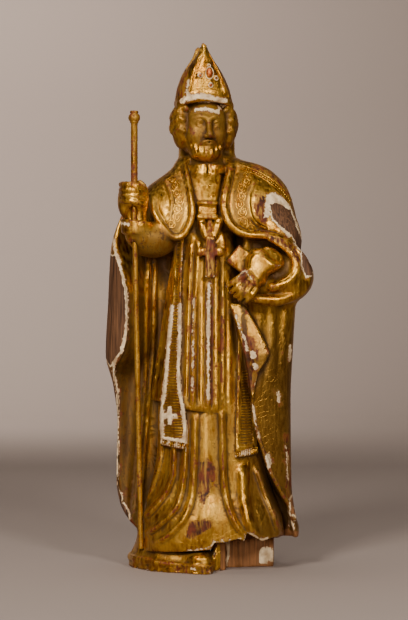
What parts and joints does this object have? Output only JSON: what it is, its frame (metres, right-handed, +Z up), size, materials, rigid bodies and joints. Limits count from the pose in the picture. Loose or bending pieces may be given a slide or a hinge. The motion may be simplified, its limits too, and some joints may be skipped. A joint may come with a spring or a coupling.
{
  "type": "saint statue",
  "caption": "Carved and gilded wooden standing figure of a bishop saint in mitre and cope, holding a staff upright and a book under the arm, on a broken base.",
  "frame": {"origin": "on the flat underside of the base, below the middle of the figure", "axes": "+Z up, the figure faces -Y, +X to the viewer's right"},
  "size_m": [0.2489, 0.1445, 0.6273],
  "materials": {
    "giltwood": "aged burnished gold leaf over red bole and gesso, worn through to the wood",
    "staff_wood": "dark wood with worn gilding"
  },
  "bodies": {
    "root": {"figure": "giltwood", "staff": "staff_wood"}
  },
  "joints": []
}
